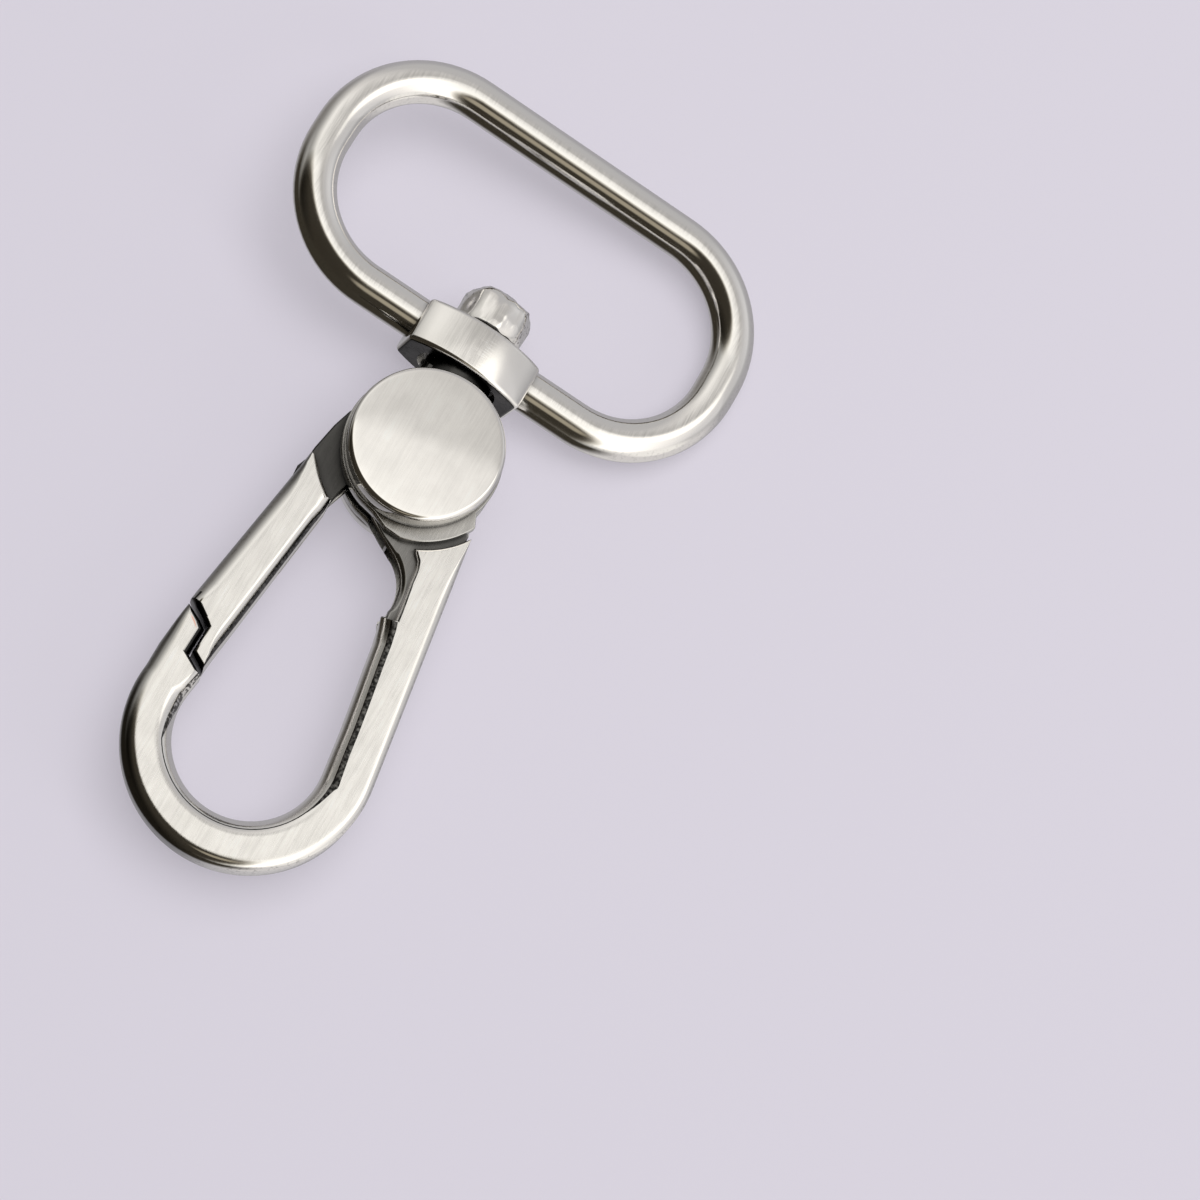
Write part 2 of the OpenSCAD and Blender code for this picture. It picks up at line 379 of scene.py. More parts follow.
def scratch_tone(n, place):
    """Pale slanting scratches, mostly on the right half."""
    turned = n.add("Mapping", Vector=place, Rotation=(0, 0, 0.6), Scale=(900, 6500, 900)).outputs[0]
    lines = n.ramp(n.noise(turned, 1.0, 2.0), 0.55, 0.62)
    right_half = n.ramp(n.add("SeparateXYZ", Vector=place).outputs["X"], -0.001, 0.0005)
    return n.mix(n.product(right_half, lines), 0.93, 1.12)


def inner_shade_band(n, place, up, grit, where):
    """Where an inner wall gets a painted dark band, by how far its faces look up, and how dark it is there:
    a dark reflection put into the colour, with grain in it.
    On the hook that is the whole edge on the right arm, a thin line round the bow and specks by the nose."""
    dark = n.ramp(grit, 0.42, 0.66, 0.02, 0.16)
    low_edge, high_edge = 0.3, 0.62
    if where == "hook":
        spot = n.add("SeparateXYZ", Vector=place).outputs
        arm = n.product(n.ramp(spot["X"], 0.001, 0.004), n.ramp(spot["Y"], -0.0335, -0.029))
        nose = n.product(n.ramp(spot["X"], -0.0045, -0.0065), n.ramp(spot["Y"], -0.034, -0.031))
        low_edge = n.math("SUBTRACT", n.mix(arm, 0.84, 0.87), n.product(nose, 0.55))
        high_edge = n.mix(arm, n.math("SUBTRACT", 0.88, n.product(nose, 0.2)), 1.05)
        dark = n.mix(nose, dark, n.ramp(grit, 0.48, 0.56, 0.15, 0.8))
    return n.product(n.math("GREATER_THAN", up, low_edge), n.math("LESS_THAN", up, high_edge)), dark


# the strip on the nose's front edge where the plate is worn through, in metres: its middle, the directions
# across and along it, and half its width and length
WORN_SPOT = Vector((-9.42, -23.72, 7.2)) * MM
WORN_ACROSS = (0.588, 0.809, 0)
WORN_ALONG = (0.809, -0.588, 0)
WORN_HALF_WIDTH = 0.0004
WORN_HALF_LENGTH = 0.001
COPPER = (0.88, 0.44, 0.32)


def worn_strip(n, place, cloud):
    """1 where copper shows through the plate."""
    bare = n.ramp(n.add("SeparateXYZ", Vector=place).outputs["Z"], 0.0062, 0.0066)
    for way, reach in ((WORN_ACROSS, WORN_HALF_WIDTH), (WORN_ALONG, WORN_HALF_LENGTH)):
        away = n.math("SUBTRACT", n.dot(place, way), WORN_SPOT.dot(Vector(way)))
        off = n.math("ADD", n.math("ABSOLUTE", away), n.ramp(cloud, 0.3, 0.7, -0.00006, 0.00006))
        bare = n.product(bare, n.ramp(off, reach, reach * 0.6))
    return bare


def nickel(name, face=0.9, wall=0.9, face_rough=0.3, wall_rough=0.12, brush=0.4, pits=0.3, streak=0.18,
           lumps=0.0, painted_left_shade=0.0, inner=None, worn=False, scratched=False):
    """Nickel plate, brushed where it faces front or back and smooth on its walls.
    face and wall are how bright it is, brush how deep its lines are, pits how dark the specks on its walls,
    and streak how far the face's streaks darken it. lumps gives it a beaten surface, tarnish paints shade,
    a dark reflection, on the walls that face the lower left, and inner is "hook" or "gate" for walls round
    the opening, which then get a painted dark band. Painted shade also darkens the colour where surfaces
    meet."""
    # how far the painted shade where surfaces meet darkens the colour
    crevice_shade = 0.85
    warm = 0.02
    mat = bpy.data.materials.new(name)
    mat.use_nodes = True
    n = Nodes(mat.node_tree)
    place = n.add("TexCoord").outputs["Object"]
    normal = n.turn("NORMAL", "WORLD", "OBJECT", n.add("NewGeometry").outputs["Normal"])
    up = n.math("ABSOLUTE", n.add("SeparateXYZ", Vector=normal).outputs["Z"])
    flat = n.ramp(up, 0.96, 0.995)

    # fine lines and soft clouds on the faces, grit on the walls
    stretched = n.add("Mapping", Vector=place, Rotation=(0, 0, 0.05), Scale=(9500, 420, 2500)).outputs[0]
    fine = n.noise(stretched, 1.0, 5.0)
    coarse = n.noise(stretched, 0.33, 3.0)
    cloud = n.noise(place, 420.0, 4.0)
    grit = n.noise(place, 3200.0, 3.0)
    streaks = n.math("ADD", n.product(fine, 0.6), n.product(coarse, 0.4))
    tone = n.ramp(streaks, 0.38, 0.6, face * (1 - streak), face)
    tone = n.product(tone, n.ramp(cloud, 0.35, 0.65, 0.95, 1.03))
    if scratched:
        tone = n.product(tone, scratch_tone(n, place))

    # walls round the opening: a painted dark band, shade put into the colour
    if inner:
        band, dark = inner_shade_band(n, place, up, grit, inner)
        side = n.mix(band, wall, dark)
        flat = n.product(flat, n.math("SUBTRACT", 1.0, band))
    else:
        speck = n.product(n.ramp(grit, 0.56, 0.62), pits, n.ramp(up, 0.75, 0.6))
        side = n.mix(speck, wall, wall * 0.1)
    # painted shade: a dark reflection put into the colour of the walls that face the lower left
    if painted_left_shade:
        side = n.product(side, n.ramp(n.dot(normal, (-0.8, -0.6, 0)), 0.42, 0.68, 1.0, 1 - painted_left_shade))
    tone = n.mix(flat, side, tone)

    # painted shade: the colour goes near black where surfaces meet, by ambient occlusion
    occlusion_shade = n.add("AmbientOcclusion", Distance=0.0011)
    occlusion_shade.samples = 8
    occlusion_shade.only_local = False
    tone = n.product(tone, n.ramp(occlusion_shade.outputs["AO"], 0.25, 0.85, 1 - crevice_shade, 1.0))
    color = n.add("CombineColor")
    tints = (1 + warm, 1.0, 1 - 1.6 * warm)
    bare = worn_strip(n, place, cloud) if worn else None
    for key, tint, copper in zip(("Red", "Green", "Blue"), tints, COPPER):
        channel = n.product(tone, tint)
        n.set(color, key, n.mix(bare, channel, copper) if worn else channel)

    rough_face = n.ramp(fine, 0.3, 0.7, face_rough * 0.8, face_rough * 1.2)
    rough_wall = n.ramp(cloud, 0.3, 0.7, wall_rough * 0.7, wall_rough * 1.5)
    bump = n.add("Bump", Strength=brush, Distance=0.00002, Height=n.mix(flat, cloud, streaks)).outputs[0]
    if lumps:
        beaten = n.noise(place, 480.0, 1.0)
        bump = n.add("Bump", Strength=lumps, Distance=0.0005, Height=beaten, Normal=bump).outputs[0]
    bsdf = n.add("BsdfPrincipled", Metallic=1.0, Normal=bump)
    n.set(bsdf, "Base Color", color.outputs[0])
    n.set(bsdf, "Roughness", n.mix(flat, rough_wall, rough_face))
    n.set(bsdf, "Anisotropic", n.product(flat, 0.9))
    n.set(bsdf, "Tangent", n.turn("VECTOR", "OBJECT", "WORLD", (1.0, 0.0, 0.0)))
    n.add("OutputMaterial", Surface=bsdf.outputs[0])
    return mat


satin = nickel("satin nickel", face=1.0, wall=0.95, painted_left_shade=0.72, worn=True)
# walls round the opening, with a painted dark band of shade
hook_wall_shade = nickel("hook wall nickel with painted shade", face=0.95, wall=0.97, wall_rough=0.16, inner="hook")
gate_wall_shade = nickel("gate wall nickel with painted shade", face=0.95, wall=0.95, wall_rough=0.16, inner="gate")
polished = nickel("polished nickel", face=0.97, wall=0.97, face_rough=0.14, wall_rough=0.1, brush=0.12,
                  pits=0.1)
button_metal = nickel("button nickel", face=0.98, wall=0.95, face_rough=0.07, wall_rough=0.07, brush=0.05,
                      pits=0.1, streak=0.07)
head_metal = nickel("hammered nickel", face=0.97, wall=0.97, face_rough=0.1, wall_rough=0.09, brush=0.3,
                    pits=0.5, lumps=0.35)
collar_metal = nickel("collar nickel", face=0.97, wall=0.95, face_rough=0.16, wall_rough=0.14, brush=0.2,
                      pits=0.0, scratched=True)
# painted shade: near-black nickel for what lies deep in shade, the post's seat and neck, the gate's tongue
# and eye, the faces in the latch gap and the collar's recess
shade_nickel = nickel("painted shade nickel", face=0.12, wall=0.05, face_rough=0.35, wall_rough=0.25, brush=0.9,
              pits=0.9)
# painted shade: darker nickel for the web, set lower between the cheeks, and for the collar's lower faces
web_shade_nickel = nickel("web shade nickel", face=0.28, wall=0.4, face_rough=0.25, wall_rough=0.15, brush=0.3, pits=0.3)
cheek_metal = nickel("cheek nickel", face=0.6, wall=0.6, face_rough=0.25)
wire = nickel("drawn steel wire", face=0.6, wall=0.5, face_rough=0.3, wall_rough=0.2, brush=0.1, pits=0.0)

# a point near the middle of the space inside the closed hook, and the height where its walls begin
OPENING = (-1.5, -22)
OPENING_TOP = -8


def set_inner(obj, material):
    """Gives the walls that face the hook's opening their own metal, with its painted dark band, in the
    second slot.
    """
    obj.data.materials.append(material)
    for face in obj.data.polygons:
        spot = face.center / MM
        toward_opening = face.normal.x * (OPENING[0] - spot.x) + face.normal.y * (OPENING[1] - spot.y)
        if toward_opening > 0.05 and abs(face.normal.z) < 0.995 and spot.y < OPENING_TOP:
            face.material_index = 1


def set_latch(obj, toward, low, high):
    """Paints shade, near black, on the steep faces in the gap between gate and nose, in the third slot.
    They look toward the other part, and lie between two corners of a rectangle."""
    obj.data.materials.append(shade_nickel)
    for face in obj.data.polygons:
        spot = face.center / MM
        inside = low[0] < spot.x < high[0] and low[1] < spot.y < high[1]
        if inside and abs(face.normal.z) < 0.97 and face.normal.xy.dot(toward) > 0.25:
            face.material_index = 2


# Sizes that hook, gate and swivel share

HEAD_R = 7.3
CHEEK_R = 8.3
# the head's slot for the gate's eye, and the cheeks beside it
SLOT_R = 7.1
SLOT_HALF = 1.0
WEB_HALF = 1.5
# bow: its centre and radii, and the lean of the two arms that run into it
BOW = (-0.32, -30.2)
R_OUT, R_IN = 11.25, 6.8
LEAN_R, LEAN_L = 8.0, 6.9
TAN_L = math.tan(math.radians(LEAN_L))
# the latch's end faces slope by this, and the nose stands back from the gate by a little
LATCH_SLOPE = math.tan(math.radians(36))
NOSE_SET_BACK = 0.33
SWIVEL_X = -0.7
COLLAR_LOW, COLLAR_HIGH = 8.2, 12.7


def on_bow(r, deg):
    return (BOW[0] + r * math.cos(math.radians(deg)), BOW[1] + r * math.sin(math.radians(deg)))


def gate_end(x):
    """The gate's slanting end face, as a point at x."""
    return (x, -23.6 - LATCH_SLOPE * (x + 8.55))


def nose_end(x):
    return (x, gate_end(x)[1] - NOSE_SET_BACK)


# Hook body

left_outer = on_bow(R_OUT, 180 - LEAN_L)
left_inner = on_bow(R_IN, 180 - LEAN_L)
right_outer = on_bow(R_OUT, LEAN_R)
nose_out = (-10.98, -22.5)
LEDGE_Y = -27.55
ledge_in = (left_inner[0] + TAN_L * (LEDGE_Y - left_inner[1]), LEDGE_Y)
arm_tip = (7.62, -4.75)
right_inner = [(6.44, -29.4), (6.2, -27.5), (5.92, -25.3), (5.6, -23.2), (5.28, -21.2), (4.95, -19.2),
               (4.65, -17.2), (4.35, -15.8), (4.05, -15.0), (4.02, -14.7), (4.4, -14.55)]
# the arm's front layer stands back from the web below it, down to the end of the spring's slot
set_back = [(3.9, -8.6), (4.35, -9.1), (4.55, -9.7), (4.62, -10.3), (4.68, -11), (4.85, -12), (5.1, -13.7),
            (5.2, -14.6)]
set_back_radii = [0.3, 0.35, 0.35, 0.38, 0.4, 0.4, 0.42, 0.45]


def bow_edge():
    """The bow's outer edge, with a rounding that narrows from the nose to the right arm."""
    parts = []
    for deg in np.arange(180 - LEAN_L, 360 + LEAN_R, 3):
        radius = np.interp(deg, (173, 225, 270, 368), (1.6, 1.35, 1.05, 1.1))
        rise = np.interp(deg, (173, 225, 270, 315, 368), (1.8, 1.7, 1.3, 0.9, 0.6))
        parts.append(([on_bow(R_OUT, deg)], float(radius), float(rise)))
    return parts


arm_pts, arm_rad, arm_rise = outline(
    (arc(0, 0, 8.95, -31, -66, 2.5)[1:], 0.3),
    (set_back, set_back_radii, 0.8),
    ([(4.1, -15.0)], 0.3, 0.8),
    (right_inner[:-3][::-1], 1.47, 2.2),
    (arc(BOW[0], BOW[1], R_IN, 2, -180 - LEAN_L, 4), 1.65, 2.2),
    (line(left_inner, ledge_in)[1:], 1.2, 2.2),
    ([ledge_in], 0.8, 1.5),
    ([(-8.75, -26.45)], 0.35, 0.9),
    ([nose_end(-8.67)], 0.62, 0.9),
    (line(nose_end(-9.4), nose_out), 0.66, 0.9),
    ([nose_out], 0.45, 0.8),
    ([(-11.12, -23.4)], 0.7, 0.9),
    ([(-11.25, -24.4)], 0.95, 1.2),
    ([(-11.38, -25.6)], 1.25, 1.6),
    (line((-11.48, -26.6), left_outer), 1.5, 1.8),
    *bow_edge(),
    (line(right_outer, arm_tip)[1:], 1.1, 0.6),
    ([arm_tip], 1.1, 0.6),
)
taper(arm_pts, arm_rad, arm_tip, slope=0.2, least=0.05)
body = plate("hook arm and bow", arm_pts, arm_rad, MID_Z - HALF, MID_Z + HALF, satin, arm_rise)

shoulder_arc = arc(0.1, -13.2, 4.3, -12, 61, 4)
web_pts, web_rad, web_rise = outline(
    ([(0, 0), (-4, 4), (-5.3, -1), (-0.95, -7.5), (0.6, -8.5), (2.18, -9.44)], 0.3, 0.8),
    (shoulder_arc[::-1], 0.65, 0.9),
    (right_inner[-3:][::-1], 0.5, 0.9),
    ([(5.5, -16.5)], 0.3),
    ([(8.4, -15.0), (8.2, -12), (7.8, -9), (7.3, -4.6)], 0.25),
    (arc(0, 0, 7.2, -26, 60, 4), 0.25),
    ([(2.0, 7.3)], 0.25),
)
taper(web_pts, web_rad, (4.2, -14.6), slope=0.5, least=0.2)
web = plate("head web", web_pts, web_rad, MID_Z - WEB_HALF, MID_Z + WEB_HALF, web_shade_nickel, web_rise)

cheek_pts, cheek_rad, cheek_rise = outline(
    (arc(0, 0, CHEEK_R, -75.5, -27, 2.5), 0.12),
    (arc(0, 0, HEAD_R, -20, 250, 4), 0.12),
    ([(-1.15, -7.25), (0.4, -7.95)], 0.3),
)
cheeks = [plate(name, cheek_pts, cheek_rad, low, high, cheek_metal, cheek_rise)
          for name, low, high in (("front cheek", MID_Z + SLOT_HALF, MID_Z + HALF),
                                  ("back cheek", MID_Z - HALF, MID_Z - SLOT_HALF))]

# room for the gate's eye, for its swing, and for the spring's leg in the right arm
swing = [(-10, 7.5), (-5.3, 8), (0, 0), (1.9, -6.6), (1.1, -9.4), (-4, -12), (-10, -6)]
leg_slot = [(-2.4, -15.4), (0.8, -15.4), (0.8, 0), (-2.4, 0)]
leg_lean = Matrix.Translation((2.2, 0, MID_Z)) @ Matrix.Rotation(math.radians(10.8), 4, "Z")
cut_room(web, arc(0, 0, SLOT_R, 0, 356, 4), MID_Z - SLOT_HALF, MID_Z + SLOT_HALF)
cut_room(web, swing, MID_Z - SLOT_HALF, MID_Z + SLOT_HALF)
for target in (body, web):
    cut_room(target, leg_slot, -SLOT_HALF, SLOT_HALF, place=leg_lean)

HAMMERED_FROM = 13.1


def hammer(obj):
    """Dents the post's end and drives it a little to one side, as the hammer left it."""
    side_dent, end_dent = 0.16, 0.22
    taller = 0.1
    to_side = 0.25
    for v in obj.data.vertices:
        if v.co.y > HAMMERED_FROM * MM:
            dent = noise.noise(v.co / MM * 0.75) + 0.5 * noise.noise(v.co / MM * 1.7)
            outward = Vector((v.co.x - SWIVEL_X * MM, 0, v.co.z - MID_Z * MM)).normalized()
            v.co += outward * side_dent * dent * MM
            v.co.y += end_dent * dent * MM + taller * (v.co.y - HAMMERED_FROM * MM)
            v.co.x += to_side * MM * min(1, (v.co.y / MM - HAMMERED_FROM) / 0.5)


POST_R = 2.7
post_axis = Matrix.Translation((SWIVEL_X, 0, MID_Z)) @ Matrix.Rotation(math.radians(-90), 4, "X")
post_profile = [(0, 8.8), (POST_R, 8.8), (POST_R, 12.9), (3.0, 12.95), (3.3, 13.2), (3.35, 13.6),
                (3.35, 14.4), (3.35, 15.2), (3.28, 15.7), (3.05, 16.1), (2.7, 16.35), (2.2, 16.5),
                (1.4, 16.55), (0.6, 16.6), (0, 16.6)]
post = lathe("swivel post", post_profile, head_metal, post_axis, 96)
hammer(post)
# painted shade: the post's seat and the neck are near black where they lie under the collar
seat_profile = [(0, 3), (3.3, 3), (3.3, 8.75), (POST_R, 8.85), (0, 8.9)]
seat = lathe("post seat", seat_profile, shade_nickel, post_axis, 96)
neck_pts = [(-3.6, 5), (2.2, 5), (2.2, 7.6), (-3.6, 7.6)]
neck = plate("neck", neck_pts, [0.2] * len(neck_pts), MID_Z - HALF, MID_Z + HALF, shade_nickel, rise=0.2)

set_inner(body, hook_wall_shade)
set_latch(body, toward=Vector((0.8, 0.6)), low=(-11.2, -27.6), high=(-6.9, -22.1))
for piece in (body, web, *cheeks, post, seat, neck):
    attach(piece, "hook")
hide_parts("hook_body")

# Gate

TONGUE_HALF = 0.85
gate_in_top = (-4.63, -8.0)
gate_out_top = (-8.55, -4.9)
gate_tip = (-6.95, -27.14)
gate_corner = gate_end(-11.07)
gate_head = arc(0, 0, 9.5, 212, 239.5, 2.5)
gate_pts, gate_rad, gate_rise = outline(
    ([gate_head[0]], 0.35, 1.5),
    ([gate_head[1]], 0.35, 0.8),
    (gate_head[2:], 0.35),
    (line(gate_in_top, (-6.95, -27.0))[1:], 1.2, 2.2),
    ([gate_tip], 0.5, 1.2),
    ([(-8.6, -26.15), (-8.57, -25), (-8.55, -23.6)], 0.4),
    (line(gate_end(-9.2), gate_corner), 0.4),
    ([gate_corner], 0.4, 1.8),
    (line((-10.98, -21.0), gate_out_top), 1.7, 1.8),
    ([gate_out_top], 1.7, 1.8),
)
taper(gate_pts, gate_rad, gate_out_top, slope=0.35, least=0.25)
taper(gate_pts, gate_rad, gate_in_top, slope=0.6, least=0.5)
taper(gate_pts, gate_rad, gate_tip, slope=0.4, least=0.3)
taper(gate_pts, gate_rad, gate_corner, slope=0.9, least=0.4)
gate = plate("gate arm", gate_pts, gate_rad, MID_Z - HALF, MID_Z + HALF, satin, gate_rise)
spring_slot = [(-0.55, 0), (3.5, 0), (3.5, 12), (-0.55, 12)]
slot_place = Matrix.Translation((-5.9, -15.9, MID_Z)) @ Matrix.Rotation(math.radians(-LEAN_L), 4, "Z")
# the spring's leg lies a little in front of the middle, and so does its slot
cut_room(gate, spring_slot, low=-0.25, high=0.65, place=slot_place)
# painted shade: the gate's tongue and eye are near black where they lie in the head's slot
tongue_pts = [(-4.2, 3.4), (-6.4, 2.0), (-7.45, 0.3), (-8.0, -1.5), (-8.5, -4.2), (-8.6, -5.4),
              (-9.0, -6.5), (-8.8, -9.5), (-5.2, -9.9), (-4.85, -8.4), (-4.6, -7.0), (-4.1, -5.4), (-4, 0)]
tongue = plate("gate tongue", tongue_pts, [0.2] * len(tongue_pts), MID_Z - TONGUE_HALF, MID_Z + TONGUE_HALF,
               shade_nickel, rise=0.2)
eye_pts = arc(0, 0, 6.9, 0, 356, 4)
eye = plate("gate eye", eye_pts, [0.1] * len(eye_pts), MID_Z - TONGUE_HALF, MID_Z - 0.05, shade_nickel, rise=0.1)
set_inner(gate, gate_wall_shade)
set_latch(gate, toward=Vector((-0.6, -0.8)), low=(-10.75, -27.3), high=(-7.3, -21.0))
for piece in (gate, tongue, eye):
    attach(piece, "gate_arm")
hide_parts("gate")

# Buttons

BUTTON_GAP = 0.04
BUTTON_EDGE_R = 6.55
BUTTON_ROUNDING = 0.5


def button_profile(height):
    """Slightly domed face, rounded rim and an upright wall."""
    profile = [(r, height - 0.12 * (r / 6.5) ** 2) for r in (0, 0.5, 1, 2, 3, 4, 5, 5.9, 6.45)]
    for k in range(10):
        a = math.radians(84 * (1 - k / 9))
        rim_z = height - 0.63 + BUTTON_ROUNDING * math.sin(a)
        profile.append((BUTTON_EDGE_R + BUTTON_ROUNDING * math.cos(a), rim_z))
    return profile + [(7.06, 1.2), (7.07, 0.2), (6.95, 0), (0, 0)]


on_front = Matrix.Translation((0, 0, MID_Z + HALF + BUTTON_GAP))
on_back = Matrix.Translation((0, 0, MID_Z - HALF - BUTTON_GAP)) @ Matrix.Rotation(math.pi, 4, "X")
for name, node, height, place in (("front button cap", "pivot_button", 2.86, on_front),
                                  ("rear button cap", "back_button", 2.66, on_back)):
    cap = lathe(name, button_profile(height), button_metal, place, 160)
    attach(cap, "hook")
    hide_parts(node)

# Spring: one wire, whose bent leg lies in the gate

WIRE_R = 0.22
COIL_R = 2.2
COIL_LOW, COIL_HIGH = 5.2, 5.7
COIL_DEG = 540
GATE_LEG_BEND = Vector((-5.0, -8.3, COIL_LOW))
GATE_LEG_TIP = Vector((-5.86, -15.4, COIL_LOW))
HOOK_LEG_TIP = Vector((4.98, -14.6, COIL_HIGH))


def stretch(p, q, step):
    """Points in space from p up to, but without, q."""
    n = max(1, round((q - p).length / step))
    return [p.lerp(q, k / n) for k in range(n)]


coil = []
for turned in range(0, COIL_DEG + 1, 10):
    a = math.radians(180 - turned)
    z = COIL_LOW + (COIL_HIGH - COIL_LOW) * turned / COIL_DEG
    coil.append(Vector((COIL_R * math.cos(a), COIL_R * math.sin(a), z)))
spring_path = (stretch(GATE_LEG_TIP, GATE_LEG_BEND, 1.0) + stretch(GATE_LEG_BEND, coil[0], 0.25) + coil
               + stretch(coil[-1], HOOK_LEG_TIP, 1.0)[1:] + [HOOK_LEG_TIP])
spring = tube("gate torsion spring", spring_path, WIRE_R, wire)
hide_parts("gate_spring")
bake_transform(spring)

# Webbing loop

LOOP_HALF_W = 21.25
LOOP_LOW, LOOP_HIGH = 11.0, 32.2
LOOP_CORNER = 9.9
# how far the loop is turned on the post, and how far it hangs askew from the collar's lower end
LOOP_TURN = math.radians(8)
LOOP_SKEW = math.radians(-1)
on_post = Matrix.Translation((SWIVEL_X, 0, MID_Z)) @ Matrix.Rotation(LOOP_TURN, 4, "Y")
collar_end = Matrix.Translation((0, COLLAR_LOW, 0))
loop_place = on_post @ collar_end @ Matrix.Rotation(LOOP_SKEW, 4, "Z") @ collar_end.inverted()


def loop_path():
    """Oblong with round corners, through the middle of the bar."""
    side = LOOP_HALF_W - LOOP_CORNER
    low = LOOP_LOW + LOOP_CORNER
    high = LOOP_HIGH - LOOP_CORNER
    points = line((-side, LOOP_LOW), (side, LOOP_LOW), 2.5)
    points += arc(side, low, LOOP_CORNER, -90, 0, 4)
    points += arc(side, high, LOOP_CORNER, 0, 90, 4)
    points += line((side, LOOP_HIGH), (-side, LOOP_HIGH), 2.5)[1:]
    points += arc(-side, high, LOOP_CORNER, 90, 180, 4)
    points += arc(-side, low, LOOP_CORNER, 180, 270, 4)[:-1]
    return clean(points, points)[0]


def collar_plan():
    """The collar seen along the post: convex front and back, and small roundings toward the flat sides."""
    front_r, corner_r = 9.7, 0.7
    meet_deg = 54.7
    front = [(-x, z) for x, z in arc(0, -5.3, front_r, meet_deg, 180 - meet_deg, 2)]
    side = arc(5.2, 2.045, corner_r, meet_deg, 0, 8)[1:]
    plan = front + side + [(x, -z) for x, z in side[::-1]]
    return plan + [(-x, -z) for x, z in plan]


COLLAR_ROUNDING = 0.45
RECESS_R = 4.0
LOOP_BAR_R = 2.0
loop = ring("loop bar", loop_path(), LOOP_BAR_R, polished, loop_place)
stand = loop_place @ Matrix.Rotation(math.radians(-90), 4, "X")
plan = collar_plan()
collar = plate("collar", plan, [COLLAR_ROUNDING] * len(plan), COLLAR_LOW, COLLAR_HIGH, collar_metal,
               rise=COLLAR_ROUNDING, place=stand)
bore = [(0, 7), (RECESS_R, 7), (RECESS_R, COLLAR_LOW), (3.7, 8.95), (2.8, 8.96), (2.8, 13.5), (0, 13.5)]
cut(collar, lathe("room", bore, satin, stand, 64), (stand.to_3x3() @ UP).normalized())
# painted shade: the collar's recess near black and its downward faces darker, where the button and the neck
# shade them
collar.data.materials.append(shade_nickel)
collar.data.materials.append(web_shade_nickel)
to_local = stand.inverted()
for face in collar.data.polygons:
    spot = to_local @ (face.center / MM)
    down = (to_local.to_3x3() @ face.normal).z
    if math.hypot(spot.x, spot.y) < RECESS_R + 0.02:
        face.material_index = 1
    elif down < -0.9:
        face.material_index = 2
for piece in (loop, collar):
    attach(piece, "loop")
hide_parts("swivel_loop")

# Floor

bpy.ops.mesh.primitive_plane_add(size=3)
floor = bpy.context.object
floor.name = "floor"
paper = bpy.data.materials.new("pale paper")
paper.use_nodes = True
paper_nodes = Nodes(paper.node_tree)
sheet = paper_nodes.add("BsdfPrincipled", Roughness=0.9, Base_Color=(0.35, 0.3325, 0.3725, 1),
                        Emission_Color=(0.71, 0.672, 0.752, 1), Emission_Strength=0.5)
paper_nodes.add("OutputMaterial", Surface=sheet.outputs[0])
floor.data.materials.append(paper)
# the metal mirrors the world's own lower half instead
floor.visible_glossy = False

# World: what the metal mirrors

world = bpy.data.worlds.new("studio")
scene.world = world
world.use_nodes = True
w = Nodes(world.node_tree)
ray = w.add("TexCoord").outputs["Generated"]


def toward(x, y, z):
    """How far the mirrored direction goes this way."""
    return w.dot(ray, (x, y, z))


# bright behind and above, dark at the front left, by how far a direction goes to the front left
SKY = ((-1.0, (0.44, 0.44, 0.45)), (-0.3, (0.46, 0.45, 0.45)), (0.0, (0.66, 0.64, 0.62)),
       (0.22, (0.86, 0.84, 0.81)), (0.34, (0.97, 0.95, 0.91)), (0.5, (1.05, 1.03, 0.98)),
       (0.57, (0.55, 0.52, 0.46)), (0.63, (0.1, 0.088, 0.07)), (0.7, (0.035, 0.03, 0.022)),
       (1.0, (0.03, 0.025, 0.018)))
front_left = Vector((-0.45, -0.75, 0.48)).normalized()
sky = w.add("ValToRGB", Fac=w.ramp(toward(*front_left), -1.0, 1.0))
while len(sky.color_ramp.elements) < len(SKY):
    sky.color_ramp.elements.new(0.5)
for element, (stop, color) in zip(sky.color_ramp.elements, SKY):
    element.position = (stop + 1) / 2
    element.color = (*color, 1)

# a soft step across the button, less light from the left and more from the right
across = toward(-0.21, 1.0, -0.335)
step = w.math("SUBTRACT", w.ramp(across, -0.012, 0.012, 0.0, 0.22), w.ramp(across, 0.1, 0.4, 0.0, 0.22))
left_side = w.ramp(toward(-1, 0, 0), 0.62, 0.92, 1.0, 0.33)
right_side = w.product(w.ramp(toward(1, 0, 0), 0.3, 0.65, 0.0, 0.4), w.ramp(toward(0, 0, 1), 0.0, 0.25))
level = w.math("ADD", w.product(w.math("SUBTRACT", 1.0, step), left_side), right_side)
level_color = w.add("CombineColor", Red=level, Green=level, Blue=level).outputs[0]
above = w.mix_color(1.0, sky.outputs[0], level_color, "MULTIPLY")

# what the floor's side mirrors: grey, paler at the front right, dark toward the left and the front left
pale_side = w.product(w.ramp(toward(1, 0, 0), 0.02, 0.3), w.ramp(toward(0, -1, 0), -0.25, 0.0))
below = w.mix_color(pale_side, (0.37, 0.36, 0.38, 1), (0.62, 0.6, 0.6, 1))
below = w.mix_color(w.ramp(toward(-1, 0, 0), 0.5, 0.85), below, (0.2, 0.19, 0.18, 1))
below = w.mix_color(w.ramp(toward(-0.5, -0.7, 0), 0.2, 0.42), below, (0.035, 0.03, 0.022, 1))
mirrored = w.mix_color(w.ramp(toward(0, 0, -1), -0.15, 0.25), above, below)

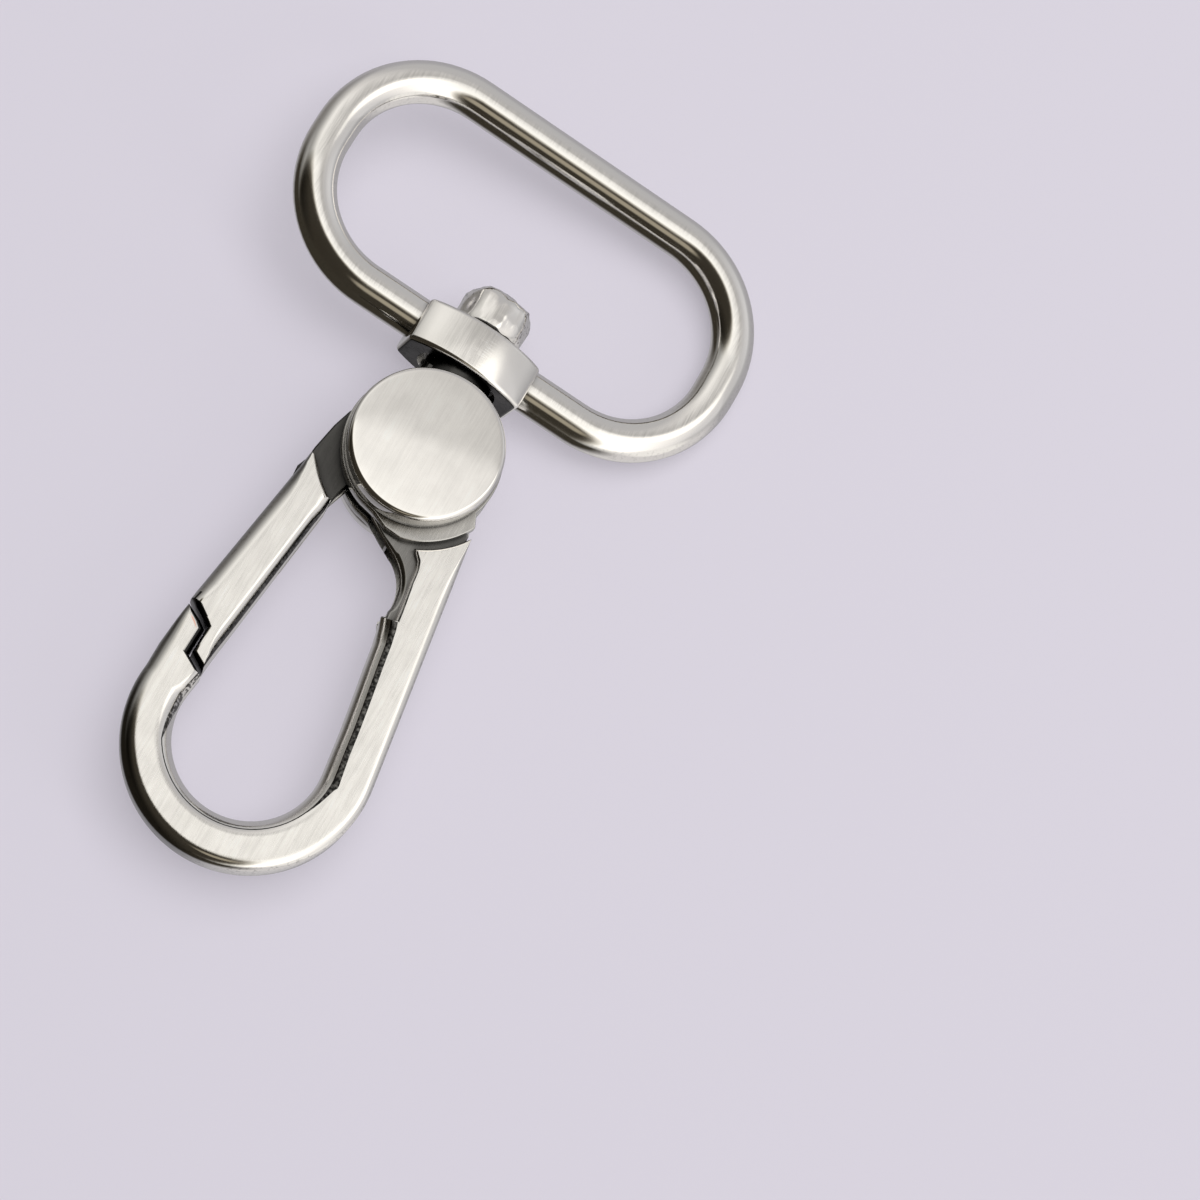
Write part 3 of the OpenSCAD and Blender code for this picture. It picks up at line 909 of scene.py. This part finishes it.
# soft spots: direction, how close it fades in and is full, and colour
SPOTS = ((Vector((0.894, -0.44, -0.08)), 0.93, 0.975, (0.85, 0.83, 0.8, 1)),
         (Vector((0.2, -0.71, 0.67)).normalized(), 0.975, 0.995, (0.33, 0.29, 0.22, 1)),
         (Vector((0.55, 0.13, 0.83)).normalized(), 0.955, 0.985, (1.3, 1.27, 1.2, 1)))
for direction, fades_in, full, color in SPOTS:
    mirrored = w.mix_color(w.ramp(toward(*direction), fades_in, full), mirrored, color)
glossy = w.add("LightPath").outputs["Is Glossy Ray"]
seen = w.mix_color(glossy, (0.3, 0.3, 0.3, 1), mirrored)
w.add("OutputWorld", Surface=w.add("Background", Color=seen).outputs[0])


# Lights

def area(name, place, aim, size, power):
    """Rectangular lamp that the metal doesn't mirror."""
    light = bpy.data.lights.new(name, "AREA")
    light.shape = "RECTANGLE"
    light.size, light.size_y = size
    light.energy = power
    obj = bpy.data.objects.new(name, light)
    obj.location = place
    obj.rotation_euler = (Vector(aim) - Vector(place)).to_track_quat("-Z", "Y").to_euler()
    obj.visible_glossy = False
    scene.collection.objects.link(obj)


# the overhead light gives the floor its level and its close soft shadows
area("overhead", (0.08, 0.1, 0.6), (0, 0, 0), (0.6, 0.6), 3.0)
area("right side", (0.5, -0.05, 0.12), (0, -0.01, 0), (0.16, 0.5), 0.5)

# Camera: looks down on the pivot, tilted toward the bow, with the hook's axis turned in the picture

TILT = math.radians(18)
ROLL = math.radians(30)
DISTANCE = 0.28
SENSOR = 36
# in pixels of the photo
PHOTO_SIZE = 1200
FOCAL_LENGTH = 3131
PIVOT_AT = (419.1, 457.9)
away = Vector((0, -math.sin(TILT), math.cos(TILT)))
along = Vector((0, math.cos(TILT), math.sin(TILT)))
side = Vector((1, 0, 0))
cam_x = math.cos(ROLL) * side + math.sin(ROLL) * along
cam_y = -math.sin(ROLL) * side + math.cos(ROLL) * along
cam_data = bpy.data.cameras.new("camera")
cam = bpy.data.objects.new("camera", cam_data)
scene.collection.objects.link(cam)
basis = Matrix((cam_x, cam_y, away)).transposed().to_4x4()
cam.matrix_world = Matrix.Translation(Vector((0, 0, MID_Z * MM)) + DISTANCE * away) @ basis
cam_data.sensor_width = SENSOR
cam_data.lens = SENSOR * FOCAL_LENGTH / PHOTO_SIZE
cam_data.shift_x = (PHOTO_SIZE / 2 - PIVOT_AT[0]) / PHOTO_SIZE
cam_data.shift_y = (PIVOT_AT[1] - PHOTO_SIZE / 2) / PHOTO_SIZE
cam_data.clip_start = 0.01
scene.camera = cam
scene.view_settings.view_transform = "Standard"
